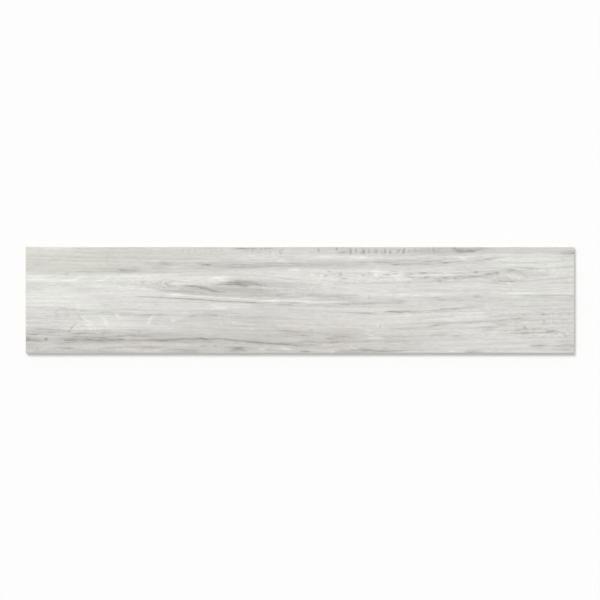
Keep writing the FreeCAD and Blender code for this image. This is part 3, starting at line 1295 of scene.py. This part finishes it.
def unwrap_for_bake(mesh, shell):
    """Lays the plank out flat on the bake map, with most of the room for the printed face."""
    corners = mesh_points(mesh)[read_all(mesh.loops, "vertex_index", int)]
    sizes = read_all(mesh.polygons, "loop_total", int)
    middles = np.add.reduceat(corners, read_all(mesh.polygons, "loop_start", int)) / sizes[:, None]
    normals = read_all(mesh.polygons, "normal", np.float32, 3)
    glazed = read_all(mesh.attributes["glazed"].data, "value", bool)
    edge = ~glazed & (middles[:, 2] > shell.back_level)
    endways = np.abs(normals[:, 0]) > np.abs(normals[:, 1])
    groups = (
        (glazed, FACE_PATCH, 0, 1),
        (~glazed & ~edge, BACK_PATCH, 0, 1),
        (edge & ~endways & (normals[:, 1] < 0), NEAR_SIDE_PATCH, 0, 2),
        (edge & ~endways & (normals[:, 1] > 0), FAR_SIDE_PATCH, 0, 2),
        (edge & endways & (normals[:, 0] < 0), LEFT_END_PATCH, 1, 2),
        (edge & endways & (normals[:, 0] > 0), RIGHT_END_PATCH, 1, 2),
    )
    shares = (corners - np.array(shell.low)) / (np.array(shell.high) - np.array(shell.low))
    layout = np.zeros((len(corners), 2), np.float32)
    for chosen, (left, right, bottom, top), across, up in groups:
        at = np.repeat(chosen, sizes)
        layout[at, 0] = left + shares[at, across] * (right - left)
        layout[at, 1] = bottom + shares[at, up] * (top - bottom)
    mesh.uv_layers.new(name=BAKE_MAP).data.foreach_set("uv", layout.ravel())


class PLANK_OT_build_tile(bpy.types.Operator):
    """Build the plank tile with its pressed, printed face, ground edges and keyed back"""

    bl_idname = "plank.build_tile"
    bl_label = "Build the plank tile"

    def execute(self, context):
        relief = context.scene.plank_relief
        shell = PlankShell(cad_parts[CAD_NODE], relief.columns, relief.rows)
        piece = bpy.data.objects.new("plank_tile_printed", shell.mesh())
        context.scene.collection.objects.link(piece)
        paint_figure(piece.data, shell)
        pressed = press_relief(piece, {
            "Vein depth": relief.vein_depth,
            "Grain depth": relief.grain_depth,
            "Wave depth": relief.wave_depth,
            "Edge fade": relief.edge_fade,
            "Reach along": shell.face_reach.x,
            "Reach across": shell.face_reach.y,
            "Seed": float(relief.seed),
            "Glaze": make_printed_glaze(context.scene.plank_print, relief.seed),
            "Body": make_fired_body(
                context.scene.plank_body, shell.low.z + LEVEL_TOLERANCE, shell.bevel_level),
        })
        pressed.name = "plank_tile_printed"
        unwrap_for_bake(pressed, shell)
        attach(piece, BODY)
        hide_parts(CAD_NODE)
        return {"FINISHED"}


class PLANK_OT_set_studio(bpy.types.Operator):
    """Set a pale floor, soft light and a camera that looks straight down on the plank"""

    bl_idname = "plank.set_studio"
    bl_label = "Set the studio"

    def execute(self, context):
        studio = context.scene.plank_studio
        low, high = CAD_BOX
        self.lay_floor(context, studio, low.z)
        self.hang_key(context, studio)
        self.light_world(context.scene, 1 - studio.key_share)
        self.aim_camera(context, studio, high)
        context.scene.view_settings.view_transform = "Standard"
        return {"FINISHED"}

    def lay_floor(self, context, studio, level):
        reach = studio.floor_size / 2
        corners = [(x * reach, y * reach, level) for x, y in ((-1, -1), (1, -1), (1, 1), (-1, 1))]
        mesh = bpy.data.meshes.new("floor")
        mesh.from_pydata(corners, [], [(0, 1, 2, 3)])
        mesh.materials.append(make_floor_paint(studio.floor))
        floor = bpy.data.objects.new("floor", mesh)
        context.scene.collection.objects.link(floor)

    def hang_key(self, context, studio):
        """One wide lamp, far off, as strong as its share of the light on a level floor."""
        lamp = bpy.data.lights.new("key", "SUN")
        lamp.angle = studio.key_spread
        lamp.energy = studio.key_share * math.pi / math.sin(studio.key_height)
        key = bpy.data.objects.new("key", lamp)
        direction = Vector((
            math.cos(studio.key_turn) * math.cos(studio.key_height),
            math.sin(studio.key_turn) * math.cos(studio.key_height),
            math.sin(studio.key_height),
        ))
        key.rotation_euler = direction.to_track_quat("Z", "Y").to_euler()
        context.scene.collection.objects.link(key)

    def light_world(self, scene, fill_share):
        """Even light from all round. The camera and reflections see plain white instead."""
        world = bpy.data.worlds.new("studio")
        world.use_nodes = True
        world.node_tree.nodes.clear()
        wires = Wires(world.node_tree)
        path = wires.node("ShaderNodeLightPath").outputs
        seen = wires.total(path["Is Camera Ray"], path["Is Glossy Ray"], path["Is Transmission Ray"])
        strength = wires.math("MINIMUM", wires.math("MAXIMUM", seen, fill_share), 1.0)
        background = wires.node("ShaderNodeBackground", {"Color": (1, 1, 1, 1), "Strength": strength})
        wires.node("ShaderNodeOutputWorld", {"Surface": background.outputs[0]})
        scene.world = world

    def aim_camera(self, context, studio, high):
        """Straight above the middle of the face, as far off as the plank's share of the width asks."""
        lens = bpy.data.cameras.new("camera")
        lens.lens = studio.lens
        camera = bpy.data.objects.new("camera", lens)
        view_width = 2 * high.x / studio.fill
        camera.location = (0, 0, high.z + view_width * lens.lens / lens.sensor_width)
        context.scene.collection.objects.link(camera)
        context.scene.camera = camera


class PLANK_PT_tools(bpy.types.Panel):
    """Lists the steps and their settings"""

    bl_idname = "PLANK_PT_tools"
    bl_label = "Plank tile"
    bl_space_type = "VIEW_3D"
    bl_region_type = "UI"
    bl_category = "Plank tile"

    def draw(self, context):
        layout = self.layout
        for operator, groups in (
            (PLANK_OT_build_tile, ("plank_relief", "plank_print", "plank_body")),
            (PLANK_OT_set_studio, ("plank_studio",)),
        ):
            layout.operator(operator.bl_idname)
            for group in groups:
                settings = getattr(context.scene, group)
                for name in settings.bl_rna.properties.keys():
                    if name not in {"rna_type", "name"}:
                        layout.prop(settings, name)


SETTINGS = {
    "plank_relief": PlankReliefSettings,
    "plank_print": PlankPrintSettings,
    "plank_body": PorcelainBodySettings,
    "plank_studio": StudioSettings,
}
CLASSES = (*SETTINGS.values(), PLANK_OT_build_tile, PLANK_OT_set_studio, PLANK_PT_tools)


def register():
    for made in CLASSES:
        bpy.utils.register_class(made)
    for name, group in SETTINGS.items():
        setattr(bpy.types.Scene, name, PointerProperty(type=group))


def unregister():
    for name in SETTINGS:
        delattr(bpy.types.Scene, name)
    for made in reversed(CLASSES):
        bpy.utils.unregister_class(made)


def main():
    register()
    bpy.ops.plank.build_tile()
    bpy.ops.plank.set_studio()


if __name__ == "__main__":
    main()
